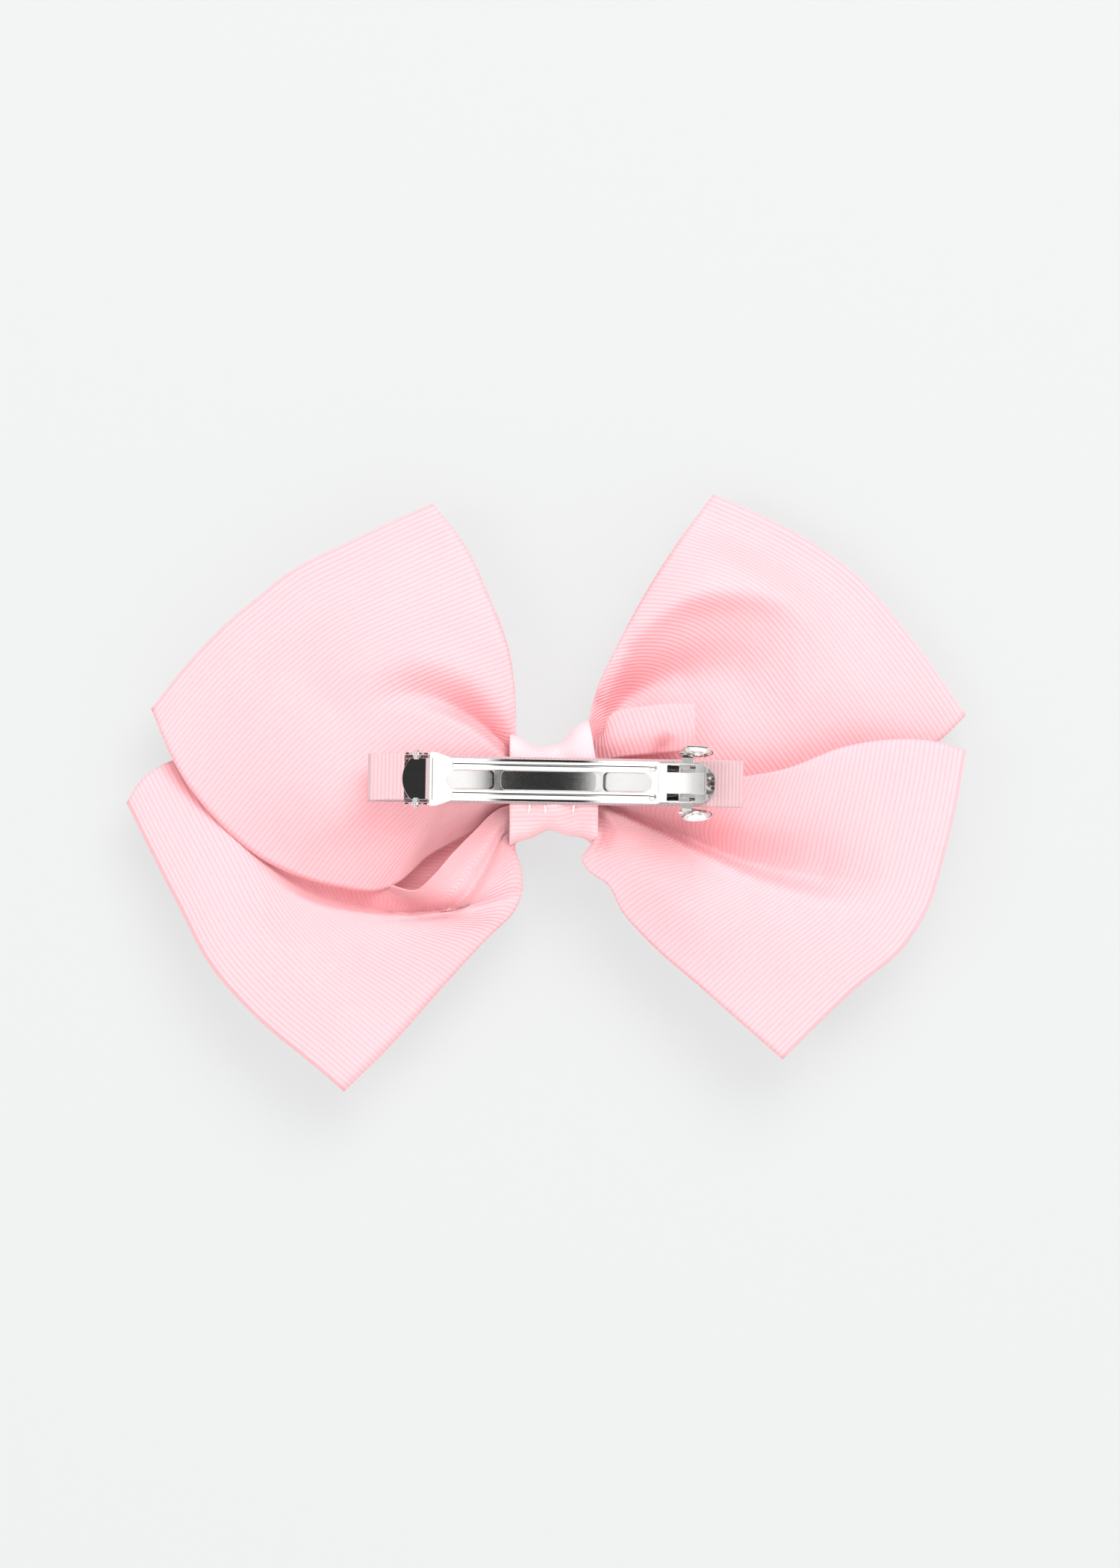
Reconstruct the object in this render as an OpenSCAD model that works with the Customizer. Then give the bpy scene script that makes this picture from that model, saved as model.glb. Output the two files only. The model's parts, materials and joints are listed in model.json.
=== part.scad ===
// Pinwheel hair bow of wide ribbon on a spring barrette.
// +X along the clip toward its catch, +Z up, +Y toward the bow's decorative face.
// The origin is the middle of the gap that holds the hair. Millimetres.

/* [Barrette] */
// Radius of the base plate's arch, inner face
plate_arch_r = 105; // [90:1:140]
// Inner face of the base plate at mid length, from the hair gap's middle
plate_y = 4.5; // [3.9:0.1:6]
// Thickness of the base plate
plate_t = 0.6; // [0.4:0.1:1]
// Width of the base plate
plate_w = 8.6; // [7:0.1:10]
// Reach of the base plate from mid length to its catch end
plate_right = 32.8; // [31.8:0.1:36]
// Reach of the base plate from mid length to its hinge end
plate_left = 33.4; // [33:0.1:36]
// Clear height of the hair gap at mid length
gap_h = 4.7; // [4.4:0.1:6]
// Radius of the lever's arch, inner face
lever_arch_r = 170; // [140:1:220]
// Thickness of the lever's sheet
lever_t = 0.5; // [0.4:0.05:0.8]
// Width of the lever's bar
lever_w = 8.8; // [8:0.1:9.4]
// Width of the lever's shoulder at the hinge end
shoulder_w = 11.2; // [10:0.1:12]
// Width of the lever's head at the catch
head_w = 8.1; // [7.9:0.1:8.6]
// Height of the lever's slots
slot_h = 4.1; // [3:0.1:4.4]
// Distance of the lever's pivot from mid length
pivot_x = 29.3; // [28:0.1:30]
// Height of the pivot above the hair gap's middle, toward the wearer
pivot_y = 3.3; // [3:0.1:3.8]
// Radius of the lever's lugs
lug_r = 0.55; // [0.4:0.05:0.7]
// Clearance between lug and ear hole, on the radius
lug_clear = 0.06; // [0.01:0.01:0.1]
// Thickness of the tension leaf
leaf_t = 0.35; // [0.25:0.05:0.5]
// Width of the tension leaf
leaf_w = 5.6; // [4.6:0.1:6.4]
// Radius of the tension leaf's arch
leaf_arch_r = 178; // [150:1:220]
// Clearance between the leaf's rolled end and the plate
leaf_seat = 0.016; // [0.01:0.002:0.1]

/* [Catch] */
// Distance of the catch's foot from mid length
catch_x = 27.8; // [27:0.1:28.2]
// Thickness of the catch's spring sheet
catch_t = 0.4; // [0.3:0.05:0.5]
// Inner face of each catch leg from the middle plane
leg_in = 3.05; // [2.9:0.05:3.2]
// Height of the hook's underside over the foot, with the lever and plate as drawn
hook_h = 5.92; // [5.8:0.02:6.3]
// Diameter of a finger pad
pad_d = 6.6; // [5:0.1:8]
// Outward lean of a finger pad, degrees
pad_lean = 17; // [5:1:30]
// Gap between neighbouring sheets of the catch
catch_gap = 0.1; // [0.05:0.01:0.2]
// Radius of the catch's rivet
rivet_r = 0.9; // [0.6:0.05:1.2]

/* [Ribbon] */
// Thickness of a modelled ribbon layer
ribbon_t = 0.8; // [0.5:0.1:1.2]
// Spread of the bow's loops, as a share of the usual
bow_spread = 1; // [0.9:0.01:1.1]
// Width of the knot band along the clip
knot_w = 17.4; // [14:0.1:20]
// Half height of the knot band at its waist
knot_half_z = 8.95; // [8.8:0.05:10]
// Half depth of the knot band at its waist
knot_half_y = 8.6; // [8.5:0.05:9.5]
// Width of the lining ribbon
lining_w = 9.8; // [9:0.1:11]
// Thickness of the lining ribbon
lining_t = 0.45; // [0.3:0.05:0.7]
// Turn of the bow against the clip, degrees
bow_turn = -1; // [-3:0.5:3]

/* [Hidden] */
$fn = 48;
lever_in_y = -gap_h / 2;
leaf_in_y = gap_h / 2;
knot_y = plate_y + plate_t + 0.85 + knot_half_y;
knot_z = -1.5;
rail_t = 0.35;
rail_in = head_w / 2 - rail_t;
catch_tilt = asin(catch_x / plate_arch_r);
catch_y = plate_y - plate_arch_r * (1 - cos(catch_tilt));
// from the catch's foot to the lever's outer face, beyond the distance as drawn
leg_more = catch_y - arch_y(lever_in_y, lever_arch_r, catch_x) + lever_t - 5.8914;

// ---- arched sheet metal

// a band of the arch whose +Y face has radius r and passes y0 at mid length
module arch(y0, r, t, w, xa, xb, zc = 0) {
    a = asin(xa / r);
    b = asin(xb / r);
    translate([0, y0 - r, 0]) rotate([0, 0, 90 - b]) rotate_extrude(angle = b - a)
        translate([r - t, zc - w / 2]) square([t, w]);
}

// 2-D outline in X and Z carried right through along Y
module through(y0 = -20, y1 = 20) {
    translate([0, y1, 0]) rotate([90, 0, 0]) linear_extrude(height = y1 - y0) children();
}

function arch_y(y0, r, x) = y0 - r + sqrt(r * r - x * x);

module base_plate() color("silver") {
    px = pivot_x;
    ear_in = 4.95;
    ear_t = 0.45;
    py = -pivot_y;
    foot_y = arch_y(plate_y, plate_arch_r, px) + 0.35;
    difference() {
        union() {
            intersection() {
                arch(plate_y + plate_t, plate_arch_r + plate_t, plate_t, 14, -plate_left, plate_right);
                through() {
                    er = plate_w / 2;
                    translate([-plate_left + er, -er])
                        square([plate_left + plate_right - 2 * er, 2 * er]);
                    translate([-plate_left + er, 0]) circle(r = er);
                    translate([plate_right - er, 0]) circle(r = er);
                    translate([-px - 2.3, -ear_in - ear_t]) square([4.9, 2 * ear_in + 2 * ear_t]);
                }
            }
            // ears folded up from the plate, one at each side of the pivot
            for (s = [-1, 1]) translate([-px, 0, s * (ear_in + ear_t / 2)]) {
                translate([-2.3, py, -ear_t / 2]) cube([4.7, foot_y - py, ear_t]);
                translate([-1.15, py - 1.15, -ear_t / 2]) cube([2.3, 1.4, ear_t]);
                translate([0, py, -ear_t / 2]) cylinder(r = 1.5, h = ear_t);
            }
        }
        // lug holes
        translate([-px, py, -8]) cylinder(r = lug_r + lug_clear, h = 16);
        // relief slots beside the ears
        for (s = [-1, 1]) {
            translate([-px - 1.55, 0, s * 4.6]) cube([1.5, 12, 0.7], center = true);
            translate([-px + 1.45, 0, s * 4.6]) cube([1.5, 12, 0.7], center = true);
        }
        // rivet hole
        in_catch() translate([0, 0, 0]) rotate([90, 0, 0])
            cylinder(r = rivet_r + 0.02, h = 6, center = true);
    }
}

// the catch's own frame: x along the plate, -y out of the plate
module in_catch() {
    translate([catch_x, catch_y, 0]) rotate([0, 0, -catch_tilt]) children();
}

module catch_bridge() color("silver") in_catch() difference() {
    hw = leg_in - catch_gap;
    translate([-2, -catch_t - 0.04, -hw]) cube([4, catch_t, 2 * hw]);
    rotate([90, 0, 0]) cylinder(r = rivet_r + 0.02, h = 6, center = true);
}

module catch_rivet() color("gainsboro") in_catch() {
    rotate([90, 0, 0]) translate([0, 0, -plate_t + 0.02])
        cylinder(r = rivet_r, h = plate_t + catch_t + 0.1);
    // rounded head
    rotate([90, 0, 0]) translate([0, 0, catch_t + 0.06]) intersection() {
        translate([0, 0, -1.9]) sphere(r = 2.4);
        cylinder(r = 1.45, h = 2);
    }
}

module wing() in_catch() {
    lz = leg_in;
    arm_h = 3.5 + leg_more;
    leg_h = hook_h + leg_more;
    pr = pad_d / 2;
    arm_out = 5.5;
    // leg
    translate([-1.1, -leg_h - catch_t, lz]) cube([2.2, leg_h + catch_t - 0.25, catch_t]);
    // rounded foot corner, where the sheet bends
    translate([-1.1, -0.25, lz + catch_t / 2]) rotate([0, 90, 0]) cylinder(r = catch_t / 2, h = 2.2);
    // hook over the lever's rail
    translate([-1.1, -leg_h - catch_t, lz]) cube([2.2, catch_t, rail_in + 0.2 - lz]);
    // arm under the rail, out to the finger pad
    translate([-1.1, -arm_h - catch_t, lz]) cube([2.2, catch_t, arm_out - lz]);
    // finger pad, leaning outward, dished with a centre dimple
    translate([0, -arm_h - catch_t / 2, arm_out - 0.15]) rotate([-pad_lean, 0, 0]) {
        translate([-1.1, -2.6, -catch_t / 2]) cube([2.9, 2.8, catch_t]);
        translate([2.85, -pr - 0.1, 0]) rotate_extrude() polygon([[0, -0.75], [0.55, -0.7], [1, -0.4],
            [1.4, -0.55], [2.3, -0.35], [pr - 0.3, 0.2], [pr, 0.2], [pr, 0.5], [pr - 0.5, 0.5],
            [2.3, 0.05], [1.4, -0.15], [1, 0], [0.55, -0.3], [0, -0.35]]);
    }
}

module wing_upper() color("silver") wing();
module wing_lower() color("silver") mirror([0, 0, 1]) wing();

module tension_leaf() color("gainsboro") {
    lx = -27.2;
    rx = 22.8;
    roll_r = 0.3;
    roll_y = arch_y(plate_y, plate_arch_r, lx) - roll_r - leaf_seat;
    // the leaf leans so that its rolled end meets the plate whatever the arches and the gap
    lean = atan((roll_y - arch_y(leaf_in_y + leaf_t, leaf_arch_r, lx + 1) + leaf_t / 2 - 0.0138) / (lx + 1));
    // rolled end that the leaf rocks on
    translate([lx, roll_y, -leaf_w / 2]) cylinder(r = roll_r, h = leaf_w);
    translate([-1, leaf_in_y, 0]) rotate([0, 0, lean]) translate([0, -leaf_in_y, 0]) intersection() {
        arch(leaf_in_y + leaf_t, leaf_arch_r, leaf_t, leaf_w, lx + 1, rx + 1);
        through() {
            translate([lx + 1, -leaf_w / 2]) square([rx - lx - 2.8, leaf_w]);
            translate([rx + 1 - 2.8, 0]) circle(r = 2.8);
        }
    }
}

module lever_slots() {
    sr = slot_h / 2;
    hull_free_slot(-22.95, -13.1, true, false, sr);
    hull_free_slot(-11.7, 7.9, false, false, sr);
    hull_free_slot(9.4, 19.4, false, true, sr);
}

// slot from xa to xb; a round end is a half circle, any other has small corners
module hull_free_slot(xa, xb, round_a, round_b, sr) {
    cr = 1.1;
    ia = round_a ? sr : cr;
    ib = round_b ? sr : cr;
    translate([xa + ia, -sr]) square([xb - xa - ia - ib, 2 * sr]);
    if (round_a) translate([xa + sr, 0]) circle(r = sr);
    else {
        for (s = [-1, 1]) translate([xa + cr, s * (sr - cr)]) circle(r = cr);
        translate([xa, -sr + cr]) square([cr + 0.1, 2 * (sr - cr)]);
    }
    if (round_b) translate([xb - sr, 0]) circle(r = sr);
    else {
        for (s = [-1, 1]) translate([xb - cr, s * (sr - cr)]) circle(r = cr);
        translate([xb - cr - 0.1, -sr + cr]) square([cr + 0.1, 2 * (sr - cr)]);
    }
}

module lever() color("silver") {
    y0 = lever_in_y;
    r = lever_arch_r;
    px = pivot_x;
    py = -pivot_y;
    sx = -26.6;
    neck = -22;
    hx0 = 20.6;
    hx1 = 30.7;
    hw = head_w / 2;
    bw = lever_w / 2;
    sw = shoulder_w / 2;
    ym = arch_y(y0, r, sx);
    difference() {
        intersection() {
            arch(y0, r, lever_t, 14, sx, hx1);
            through() difference() {
                union() {
                    polygon([[sx, -sw + 0.5], [sx + 0.3, -sw], [sx + 1.6, -sw + 0.1], [neck, -bw],
                        [hx0, -bw], [hx0 + 0.6, -hw], [hx1 - 0.8, -hw], [hx1, -hw + 0.8],
                        [hx1, hw - 0.8], [hx1 - 0.8, hw], [hx0 + 0.6, hw], [hx0, bw], [neck, bw],
                        [sx + 1.6, sw - 0.1], [sx + 0.3, sw], [sx, sw - 0.5]]);
                }
                lever_slots();
            }
        }
        // windows for the catch's legs
        for (s = [-1, 1]) translate([25.5, 0, s * (2.2 + rail_in) / 2])
            cube([5.8, 30, rail_in - 2.2], center = true);
    }
    // stiffening beads beside the slots
    for (s = [-1, 1]) {
        bead(y0, r, s * 3, -21.8, 19.2);
        translate([19.6, arch_y(y0, r, 19.6) - 0.3, s * 3]) sphere(r = 0.85);
    }
    // raised strap along the head
    arch(y0 - 0.1, r - 0.1, lever_t + 0.4, 4.3, 20.9, 30.4);
    // rails turned down along the head
    for (s = [-1, 1])
        arch(y0 + 1.1, r + 1.1, 1.3, rail_t, 21.3, 29.8, s * (rail_in + rail_t / 2));
    // heel bent in between the ears, with its two lugs
    intersection() {
        translate([0, 0, -4.3]) linear_extrude(height = 8.6)
            polygon([[sx + 0.7, ym - lever_t], [sx - 0.7, py - 0.25], [-32.4, py - 0.25],
                [-32.4, py + 0.25], [sx - 0.5, py + 0.25], [sx + 0.9, ym]]);
        through() {
            translate([-26.17, 0]) circle(r = 6.05);
        }
    }
    for (s = [-1, 1]) translate([-px, py, s * 5]) cylinder(r = lug_r, h = 1.9, center = true);
}

// low rounded rib on the lever's outer face
module bead(y0, r, z, xa, xb) {
    a = asin(xa / r);
    b = asin(xb / r);
    ro = r - lever_t;
    translate([0, y0 - r, 0]) rotate([0, 0, 90 - b]) rotate_extrude(angle = b - a)
        intersection() {
            translate([ro + 0.85, z]) circle(r = 1.2);
            translate([ro - 1, z - 2]) square([1.3, 4]);
        }
}

// centreline of the lining as [x, y, heading]: along the plate's back, round the hinge end, and
// back over the plate on the wearer's side
lining_turn = 0.95;
lining_lap = 6.2;
function lining_path() = let (
    y0 = plate_y + plate_t + 0.08 + lining_t / 2, r = plate_arch_r + plate_t + 0.08 + lining_t / 2,
    fa = asin(38.4 / r), fb = asin(-38.6 / r), h0 = 180 - fb,
    e = [r * sin(fb), y0 - r + r * cos(fb)], c = e + lining_turn * [-sin(h0), cos(h0)],
    q = c + lining_turn * [sin(h0 + 180), -cos(h0 + 180)])
    concat([for (i = [0:32]) let (f = fa + (fb - fa) * i / 32) [r * sin(f), y0 - r + r * cos(f), 180 - f]],
        [for (i = [1:11]) let (h = h0 + 15 * i) [c[0] + lining_turn * sin(h), c[1] - lining_turn * cos(h), h]],
        [for (s = [0, lining_lap]) [q[0] + s * cos(h0 + 180), q[1] + s * sin(h0 + 180), h0 + 180]]);
function beside(p, d) = [p[0] - d * sin(p[2]), p[1] + d * cos(p[2])];

module lining_ribbon() color("mistyrose") {
    p = lining_path();
    n = len(p) - 1;
    translate([0, 0, -lining_w / 2]) linear_extrude(height = lining_w)
        polygon(concat([for (q = p) beside(q, lining_t / 2)], [for (i = [n:-1:0]) beside(p[i], -lining_t / 2)]));
}

// ---- ribbon layers

function bez3(p, t) = pow(1 - t, 3) * p[0] + 3 * t * pow(1 - t, 2) * p[1]
    + 3 * t * t * (1 - t) * p[2] + pow(t, 3) * p[3];
function bez2(p, t) = (1 - t) * (1 - t) * p[0] + 2 * t * (1 - t) * p[1] + t * t * p[2];
function on_net(n, u, v) =
    bez2([for (j = [0:2]) bez3([for (i = [0:3]) n[i][j]], u)], v);
function spread(p) = [p[0] * bow_spread, p[1], p[2] * bow_spread];

// thin curved layer through a net of four rows, root to fold, by three columns, edge to edge
module layer(n, t = ribbon_t, nu = 14, nv = 8) {
    up = [for (i = [0:nu], j = [0:nv]) spread(on_net(n, i / nu, j / nv)) - [0, t / 2, 0]];
    dn = [for (i = [0:nu], j = [0:nv]) spread(on_net(n, i / nu, j / nv)) + [0, t / 2, 0]];
    m = (nu + 1) * (nv + 1);
    function id(i, j) = i * (nv + 1) + j;
    quads = concat(
        [for (i = [0:nu - 1], j = [0:nv - 1]) [id(i, j), id(i + 1, j), id(i + 1, j + 1), id(i, j + 1)]],
        [for (i = [0:nu - 1], j = [0:nv - 1])
            [m + id(i, j), m + id(i, j + 1), m + id(i + 1, j + 1), m + id(i + 1, j)]],
        [for (i = [0:nu - 1]) [id(i, 0), m + id(i, 0), m + id(i + 1, 0), id(i + 1, 0)]],
        [for (i = [0:nu - 1]) [id(i + 1, nv), m + id(i + 1, nv), m + id(i, nv), id(i, nv)]],
        [for (j = [0:nv - 1]) [id(0, j + 1), m + id(0, j + 1), m + id(0, j), id(0, j)]],
        [for (j = [0:nv - 1]) [id(nu, j), m + id(nu, j), m + id(nu, j + 1), id(nu, j + 1)]]);
    tris = [for (q = quads) each [[q[0], q[1], q[2]], [q[0], q[2], q[3]]]];
    flip = handed(n) > 0;
    rotate([0, bow_turn, 0]) polyhedron(points = concat(up, dn),
        faces = flip ? [for (f = tris) [f[2], f[1], f[0]]] : tris, convexity = 6);
}

// which way round the net runs in X and Z
function handed(n) = let (a = n[3][1] - n[0][1], b = n[2][2] - n[2][0]) a[0] * b[2] - a[2] * b[0];

kx = knot_w / 2 - 1.3;

module loop_ul_back() color("pink") layer([
    [[-kx, 8.6, 5.2], [-kx, 7.9, -1.5], [-kx, 8.6, -7.2]],
    [[-14.5, 8.2, 19], [-24, 6.4, 8], [-30, 8.6, -31]],
    [[-9, 9, 38], [-46, 5.4, 27], [-66, 8.6, -30]],
    [[-26.2, 14, 58], [-63, 13.4, 47], [-85, 14, 15]]]);

module loop_ul_front() color("pink") layer([
    [[-kx, 11.6, 5], [-kx, 12.2, -1.5], [-kx, 11.6, -7]],
    [[-14.5, 14.5, 18], [-24, 14.4, 8], [-31, 12.6, -27]],
    [[-12, 19, 36], [-46, 17.6, 27], [-65, 12.4, -27]],
    [[-26.2, 15.2, 58], [-63, 14.8, 47], [-85, 15.2, 15]]]);

module loop_lr_back() color("pink") layer([
    [[kx, 8.6, 4], [kx, 7.9, -2], [kx, 8.6, -7]],
    [[35, 8.6, -10], [24, 6.2, -11], [14, 8.2, -19]],
    [[58, 8.6, 14], [52, 5.4, -21], [22, 8.4, -40]],
    [[85.4, 14, 6.4], [82.6, 13.4, -35.2], [47.6, 14, -58]]]);

module loop_lr_front() color("pink") layer([
    [[kx, 11.6, 3.6], [kx, 12.2, -2], [kx, 11.6, -6.8]],
    [[34, 12.6, -8], [24, 14.4, -11], [14, 14.4, -19]],
    [[58, 12.4, 11], [52, 17.6, -21], [23, 18.6, -39]],
    [[85.4, 15.2, 6.4], [82.6, 14.8, -35.2], [47.6, 15.2, -58]]]);

module loop_ll_back() color("lightpink") layer([
    [[-kx, 16.2, 4], [-kx, 15.9, -3], [-kx, 15.5, -7.8]],
    [[-26, 18.2, 2], [-22, 15.6, -15], [-15, 12.6, -22]],
    [[-64, 18.4, 12], [-52, 13.2, -26], [-17.5, 10.6, -36.5]],
    [[-90.2, 20, -4.5], [-82, 18.6, -45], [-45.7, 18.6, -64.8]]]);

module loop_ll_front() color("lightpink") layer([
    [[-kx, 19.9, 4], [-kx, 20, -3], [-kx, 19.9, -7.4]],
    [[-25, 23.5, 2], [-22, 26.5, -14], [-15, 24.5, -21]],
    [[-63, 24, 10], [-52, 29, -25], [-19, 26, -36.5]],
    [[-90.2, 21.2, -4.5], [-82, 20, -45], [-45.7, 20, -64.8]]]);

module loop_ur_back() color("lightpink") layer([
    [[kx, 16.2, -5.4], [kx, 16.2, 0], [kx, 15.4, 6]],
    [[29, 18.2, -13], [23, 15, 9], [13.5, 11.6, 18]],
    [[66, 18.4, -4], [51, 10.6, 27], [14.2, 10.4, 30.4]],
    [[85.4, 20, 13.8], [69, 18.2, 48.4], [32.4, 18.6, 60]]]);

module loop_ur_front() color("lightpink") layer([
    [[kx, 19.9, -5], [kx, 20, 0], [kx, 19.9, 5.6]],
    [[28, 23.5, -12], [23, 26.5, 9], [13.5, 24.5, 17]],
    [[65, 24, -3], [51, 29, 26], [16, 26, 30]],
    [[85.4, 21.2, 13.8], [69, 19.6, 48.4], [32.4, 20, 60]]]);

// cut end of the nearer strip, lying out from the knot
module ribbon_tail() color("pink") layer([
    [[kx, 12.6, 7], [kx, 13, 7.6], [kx, 13.6, 8.4]],
    [[12, 9.4, 5.6], [12, 9.2, 10], [12, 10.2, 14.4]],
    [[20, 8.2, 5.2], [20, 7.6, 11], [20, 8.8, 16.4]],
    [[28.4, 8.6, 5.4], [28.4, 7.8, 11], [28.4, 8.8, 16.2]]], nu = 8, nv = 6);

// ---- knot

function oval(c, hy, hz, a, k = 0.8) =
    [0, c[0] + hy * sign(cos(a)) * pow(abs(cos(a)), k), c[1] + hz * sign(sin(a)) * pow(abs(sin(a)), k)];

// band of rings along X; row = [x, half depth, half height, centre y, centre z]
function ring_pts(rows, n, k) = [for (q = rows, i = [0:n - 1])
    oval([q[3], q[4]], q[1], q[2], 360 * i / n, k) + [q[0], 0, 0]];

module sleeve(rows, t, n = 32, k = 0.8) {
    inner = [for (q = rows) [q[0], q[1] - t, q[2] - t, q[3], q[4]]];
    nr = len(rows);
    m = nr * n;
    pts = concat(ring_pts(rows, n, k), ring_pts(inner, n, k));
    side = [for (i = [0:nr - 2], j = [0:n - 1]) let (a = i * n + j, b = i * n + (j + 1) % n)
        each [[a, b, b + n], [a, b + n, a + n]]];
    inside = [for (f = side) [m + f[2], m + f[1], m + f[0]]];
    ends = [for (j = [0:n - 1]) let (k1 = (j + 1) % n, l = (nr - 1) * n)
        each [[j, m + k1, k1], [j, m + j, m + k1], [l + j, l + k1, m + l + k1], [l + j, m + l + k1, m + l + j]]];
    rotate([0, bow_turn, 0]) polyhedron(points = pts, faces = concat(side, inside, ends), convexity = 6);
}

module plug(rows, n = 24, k = 0.8) {
    nr = len(rows);
    side = [for (i = [0:nr - 2], j = [0:n - 1]) let (a = i * n + j, b = i * n + (j + 1) % n)
        each [[a, b, b + n], [a, b + n, a + n]]];
    ends = [for (j = [1:n - 2]) each [[0, j + 1, j], [(nr - 1) * n, (nr - 1) * n + j, (nr - 1) * n + j + 1]]];
    rotate([0, bow_turn, 0])
        polyhedron(points = ring_pts(rows, n, k), faces = concat(side, ends), convexity = 4);
}

module knot_band() color("pink") sleeve([for (i = [-4:4]) let (s = i / 4)
    [s * knot_w / 2, knot_half_y + 0.5 * s * s, knot_half_z + (s > 0 ? 3.6 : 2.6) * s * s,
        knot_y + 0.5 * s * s, knot_z + (s > 0 ? 0.5 : 0) * s * s]], ribbon_t, k = 0.6);

module centre_half(cy) plug([for (i = [-4:4]) let (s = i / 4)
    [s * (kx - 0.8), 2.85 + 0.25 * s * s, 5.6 + 1.2 * s * s, cy, knot_z]]);

module centre_near() color("pink") centre_half(knot_y - 3.2);
module centre_far() color("lightpink") centre_half(knot_y + 3.2);

// a few turns of thread round the gathered middle
module gathering_thread() color("white") {
    n = 28;
    m = 8;
    tr = 0.42;
    pts = [for (i = [0:n - 1], j = [0:m - 1]) let (a = 360 * i / n, b = 360 * j / m)
        oval([knot_y, knot_z], 6.75 + tr * cos(b), 7.3 + tr * cos(b), a, 0.75) + [2.4 * tr * sin(b), 0, 0]];
    faces = [for (i = [0:n - 1], j = [0:m - 1])
        let (a = i * m + j, b = i * m + (j + 1) % m, c = ((i + 1) % n) * m + (j + 1) % m,
            d = ((i + 1) % n) * m + j) each [[a, c, b], [a, d, c]]];
    rotate([0, bow_turn, 0]) polyhedron(points = pts, faces = faces, convexity = 6);
}

module stitch(x, z, lean) color("white") rotate([0, bow_turn, 0])
    translate([x, knot_y - knot_half_y - 0.3, z]) rotate([0, lean, 0])
        cylinder(r = 0.2, h = 2, center = true, $fn = 16);

module stitch_left() stitch(-5.9, -6.1, 8);
module stitch_middle() stitch(-2.6, -6, -4);
module stitch_right() stitch(3.3, -6, 6);

base_plate();
catch_bridge();
catch_rivet();
wing_upper();
wing_lower();
tension_leaf();
lever();
lining_ribbon();
knot_band();
centre_near();
centre_far();
gathering_thread();
stitch_left();
stitch_middle();
stitch_right();
loop_ul_back();
loop_ul_front();
loop_lr_back();
loop_lr_front();
loop_ll_back();
loop_ll_front();
loop_ur_back();
loop_ur_front();
ribbon_tail();
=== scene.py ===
import json
import math
import bpy
import numpy as np
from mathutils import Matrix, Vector

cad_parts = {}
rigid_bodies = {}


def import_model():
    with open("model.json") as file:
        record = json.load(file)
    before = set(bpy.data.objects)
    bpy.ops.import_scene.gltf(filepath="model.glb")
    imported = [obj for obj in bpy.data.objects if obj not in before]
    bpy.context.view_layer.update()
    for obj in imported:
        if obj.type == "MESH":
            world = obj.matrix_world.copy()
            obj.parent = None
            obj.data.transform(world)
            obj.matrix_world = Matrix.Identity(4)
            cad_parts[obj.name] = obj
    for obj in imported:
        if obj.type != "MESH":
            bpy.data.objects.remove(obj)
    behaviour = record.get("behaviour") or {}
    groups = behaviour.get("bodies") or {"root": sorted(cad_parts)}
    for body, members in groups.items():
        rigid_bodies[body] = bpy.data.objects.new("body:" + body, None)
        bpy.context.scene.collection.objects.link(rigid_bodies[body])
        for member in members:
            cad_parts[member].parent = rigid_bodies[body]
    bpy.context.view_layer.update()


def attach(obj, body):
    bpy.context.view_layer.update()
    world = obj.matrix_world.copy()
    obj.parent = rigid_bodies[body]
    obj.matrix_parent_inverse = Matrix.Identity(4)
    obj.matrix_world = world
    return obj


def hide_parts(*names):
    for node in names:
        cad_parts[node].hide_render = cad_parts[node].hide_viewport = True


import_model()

MM = 0.001
TURN = math.radians(1.0)  # the clip lies one degree off the bow's own level
EYE = 1000.0  # distance of the eye, mm
AXIS_X, AXIS_Z = 0.465, -0.62  # where the line of sight meets the object, mm
WIDE = 76.0  # the bow's ribbon, mm
NU, NV = 270, 63  # points along and across one layer of a loop
RIB_BOW, RIB_BAND, RIB_LINING = 1.02, 0.95, 0.8  # pitch of the cords, mm
PLATE_R, PLATE_TOP, PLATE_T = 105.0, 4.5, 0.6  # the base plate's arch, mm

# ------------------------------------------------------------------ small maths


def through(points, n):
    """n points, evenly spaced by length, on a smooth line through the given ones."""
    p = np.array(points, float)
    d = np.maximum(np.linalg.norm(np.diff(p, axis=0), axis=1), 1e-6)
    s = np.diff(p, axis=0) / d[:, None]
    t = np.zeros_like(p)
    t[0], t[-1] = s[0], s[-1]
    if len(p) > 2:
        a, b = d[:-1, None], d[1:, None]
        t[1:-1] = (s[:-1] * b + s[1:] * a) / (a + b)
        t[0], t[-1] = 1.5 * s[0] - 0.5 * t[1], 1.5 * s[-1] - 0.5 * t[-2]
    out = []
    for i in range(len(p) - 1):
        q = np.linspace(0, 1, 40, endpoint=False)[:, None]
        h00, h10 = 2 * q**3 - 3 * q**2 + 1, q**3 - 2 * q**2 + q
        h01, h11 = -2 * q**3 + 3 * q**2, q**3 - q**2
        out.append(h00 * p[i] + h10 * d[i] * t[i] + h01 * p[i + 1] + h11 * d[i] * t[i + 1])
    out = np.vstack(out + [p[-1:]])
    run = np.concatenate([[0], np.cumsum(np.linalg.norm(np.diff(out, axis=0), axis=1))])
    at = np.linspace(0, run[-1], n)
    return np.stack([np.interp(at, run, out[:, k]) for k in range(p.shape[1])], 1)


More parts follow.
